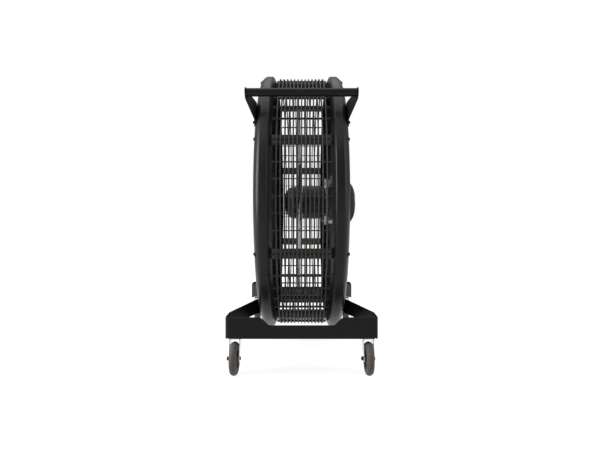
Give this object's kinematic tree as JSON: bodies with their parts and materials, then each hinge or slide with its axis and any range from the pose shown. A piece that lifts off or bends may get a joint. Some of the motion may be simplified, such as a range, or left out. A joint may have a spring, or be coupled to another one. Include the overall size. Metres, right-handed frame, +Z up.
{
  "type": "drum fan",
  "caption": "Portable drum-shaped air circulator with a ribbed side cage, front and rear guards, a push handle and a wheeled base on swivel casters.",
  "frame": {"origin": "on the floor under the centre of the drum, midway between the two foot beams", "axes": "+Z up; the rotor axis runs along X, with the air outlet at -X and the motor side at +X; the handle is on the -Y side"},
  "size_m": [0.574, 1.162, 1.253],
  "materials": {
    "shell": "moulded satin black",
    "cage": "moulded satin black",
    "frame": "fine-texture black powder coat",
    "fastener": "black oxide",
    "motor": "semi-gloss black enamel",
    "zinc": "zinc plated",
    "blade": "rolled aluminium",
    "caster_steel": "bright zinc plated",
    "tyre": "matte grey-brown rubber"
  },
  "bodies": {
    "root": {"front_hoop": "shell", "rear_hoop": "shell", "front_cap": "shell", "rear_dome": "shell", "terminal_box": "shell", "cord_gland": "shell", "front_grille": "cage", "rear_grille": "cage", "side_panel_1": "cage", "side_panel_2": "cage", "side_panel_3": "cage", "side_panel_4": "cage", "side_panel_5": "cage", "side_panel_6": "cage", "side_panel_7": "cage", "side_panel_8": "cage", "tie_rod_1": "fastener", "tie_rod_2": "fastener", "tie_rod_3": "fastener", "tie_rod_4": "fastener", "tie_rod_5": "fastener", "tie_rod_6": "fastener", "tie_rod_7": "fastener", "tie_rod_8": "fastener", "handle_bolt_front": "fastener", "handle_bolt_rear": "fastener", "motor_body": "motor", "motor_front_bell": "motor", "motor_rear_bell": "motor", "motor_plate": "zinc", "motor_rail_upper": "zinc", "motor_rail_lower": "zinc", "handle_bar": "frame", "handle_bracket_front": "frame", "handle_bracket_rear": "frame", "foot_near": "frame", "foot_far": "frame", "caster_mount_1": "caster_steel", "caster_mount_2": "caster_steel", "caster_mount_3": "caster_steel", "caster_mount_4": "caster_steel"},
    "rotor": {"shaft": "zinc", "hub": "motor", "blade_1": "blade", "blade_2": "blade", "blade_3": "blade", "blade_4": "blade"},
    "caster_1": {"caster_fork_1": "caster_steel", "axle_1": "caster_steel"},
    "wheel_body_1": {"wheel_1": "tyre"},
    "caster_2": {"caster_fork_2": "caster_steel", "axle_2": "caster_steel"},
    "wheel_body_2": {"wheel_2": "tyre"},
    "caster_3": {"caster_fork_3": "caster_steel", "axle_3": "caster_steel"},
    "wheel_body_3": {"wheel_3": "tyre"},
    "caster_4": {"caster_fork_4": "caster_steel", "axle_4": "caster_steel"},
    "wheel_body_4": {"wheel_4": "tyre"}
  },
  "joints": [
    {"name": "rotor_spin", "type": "hinge", "parent": "root", "child": "rotor", "pos_m": [0, 0, 0.672], "axis": [1, 0, 0], "continuous": true},
    {"name": "caster_swivel_1", "type": "hinge", "parent": "root", "child": "caster_1", "pos_m": [-0.254, -0.445, 0.14], "axis": [0, 0, 1], "continuous": true},
    {"name": "wheel_roll_1", "type": "hinge", "parent": "caster_1", "child": "wheel_body_1", "pos_m": [-0.254, -0.475, 0.0625], "axis": [1, 0, 0], "continuous": true},
    {"name": "caster_swivel_2", "type": "hinge", "parent": "root", "child": "caster_2", "pos_m": [0.254, -0.445, 0.14], "axis": [0, 0, 1], "continuous": true},
    {"name": "wheel_roll_2", "type": "hinge", "parent": "caster_2", "child": "wheel_body_2", "pos_m": [0.254, -0.475, 0.0625], "axis": [1, 0, 0], "continuous": true},
    {"name": "caster_swivel_3", "type": "hinge", "parent": "root", "child": "caster_3", "pos_m": [-0.254, 0.445, 0.14], "axis": [0, 0, 1], "continuous": true},
    {"name": "wheel_roll_3", "type": "hinge", "parent": "caster_3", "child": "wheel_body_3", "pos_m": [-0.254, 0.415, 0.0625], "axis": [1, 0, 0], "continuous": true},
    {"name": "caster_swivel_4", "type": "hinge", "parent": "root", "child": "caster_4", "pos_m": [0.254, 0.445, 0.14], "axis": [0, 0, 1], "continuous": true},
    {"name": "wheel_roll_4", "type": "hinge", "parent": "caster_4", "child": "wheel_body_4", "pos_m": [0.254, 0.415, 0.0625], "axis": [1, 0, 0], "continuous": true}
  ]
}
